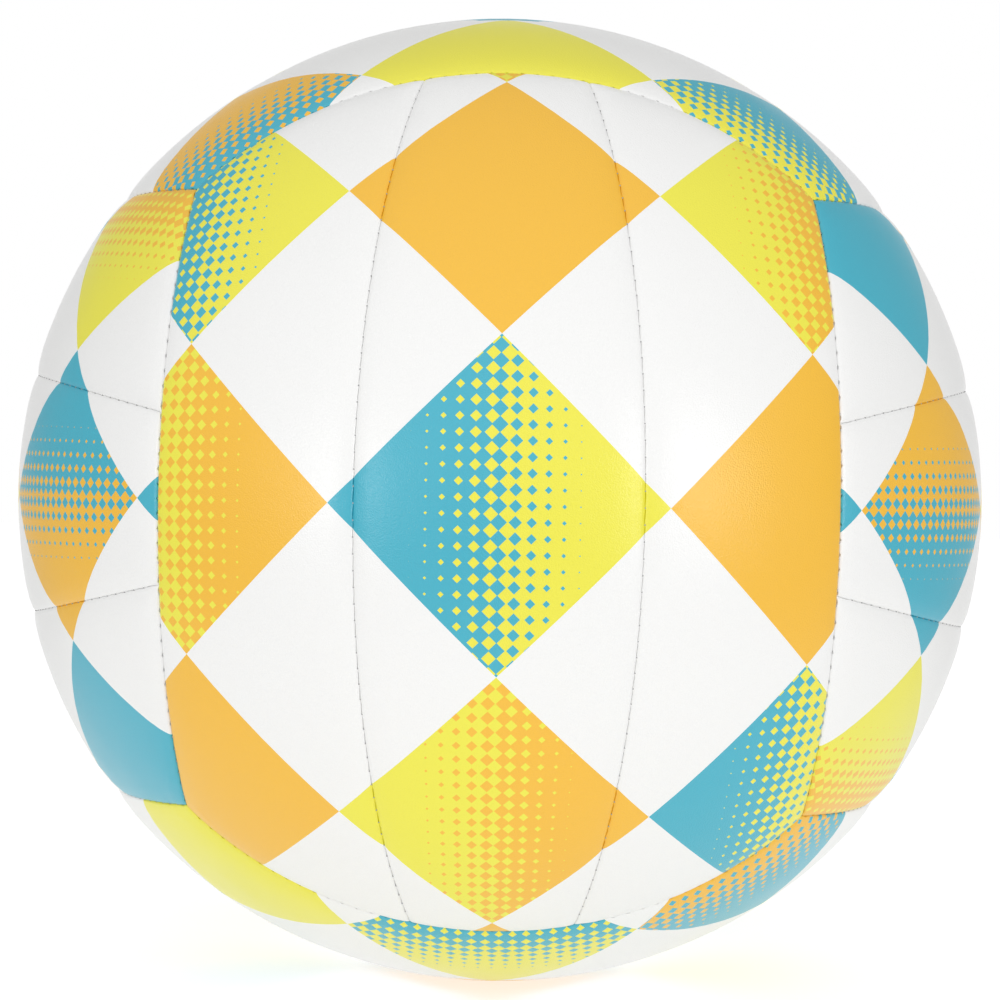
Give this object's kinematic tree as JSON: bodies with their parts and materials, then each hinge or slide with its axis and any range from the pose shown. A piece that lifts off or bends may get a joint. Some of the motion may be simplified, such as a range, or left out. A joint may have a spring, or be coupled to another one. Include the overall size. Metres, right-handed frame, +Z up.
{
  "type": "volleyball",
  "caption": "Volleyball of stitched padded panels in strips, with a coloured print on white, over a rubber bladder with a needle valve.",
  "frame": {"origin": "centre of the ball", "axes": "+Z up as in the picture, -Y towards its camera, +Y out through the inflation valve"},
  "size_m": [0.213, 0.2129, 0.213],
  "materials": {
    "cover_skin": "soft satin synthetic leather with a coloured print",
    "cover_foam": "closed-cell foam",
    "cover_lining": "plain woven polyester",
    "seam_thread": "waxed polyester thread",
    "bladder_rubber": "smooth matt butyl",
    "valve_rubber": "moulded rubber",
    "plug_rubber": "soft moulded rubber",
    "patch_cloth": "rubberised cloth"
  },
  "bodies": {
    "root": {"skin_front_left": "cover_skin", "skin_front_middle": "cover_skin", "skin_front_right": "cover_skin", "skin_back_right": "cover_skin", "skin_back_middle": "cover_skin", "skin_back_left": "cover_skin", "skin_bottom_front": "cover_skin", "skin_bottom_middle": "cover_skin", "skin_bottom_back": "cover_skin", "skin_top_back": "cover_skin", "skin_top_middle": "cover_skin", "skin_top_front": "cover_skin", "skin_left_lower": "cover_skin", "skin_left_middle": "cover_skin", "skin_left_upper": "cover_skin", "skin_right_upper": "cover_skin", "skin_right_middle": "cover_skin", "skin_right_lower": "cover_skin", "foam_front_left": "cover_foam", "foam_front_middle": "cover_foam", "foam_front_right": "cover_foam", "foam_back_right": "cover_foam", "foam_back_middle": "cover_foam", "foam_back_left": "cover_foam", "foam_bottom_front": "cover_foam", "foam_bottom_middle": "cover_foam", "foam_bottom_back": "cover_foam", "foam_top_back": "cover_foam", "foam_top_middle": "cover_foam", "foam_top_front": "cover_foam", "foam_left_lower": "cover_foam", "foam_left_middle": "cover_foam", "foam_left_upper": "cover_foam", "foam_right_upper": "cover_foam", "foam_right_middle": "cover_foam", "foam_right_lower": "cover_foam", "lining_front": "cover_lining", "lining_back": "cover_lining", "lining_bottom": "cover_lining", "lining_top": "cover_lining", "lining_left": "cover_lining", "lining_right": "cover_lining", "strip_thread_front": "seam_thread", "strip_thread_back": "seam_thread", "strip_thread_bottom": "seam_thread", "strip_thread_top": "seam_thread", "strip_thread_left": "seam_thread", "strip_thread_right": "seam_thread", "edge_thread_front": "seam_thread", "edge_thread_back": "seam_thread", "edge_thread_bottom": "seam_thread", "edge_thread_top": "seam_thread", "edge_thread_left": "seam_thread", "edge_thread_right": "seam_thread", "closing_thread": "seam_thread", "bladder": "bladder_rubber", "valve_body": "valve_rubber", "valve_plug": "plug_rubber", "valve_patch": "patch_cloth"}
  },
  "joints": []
}
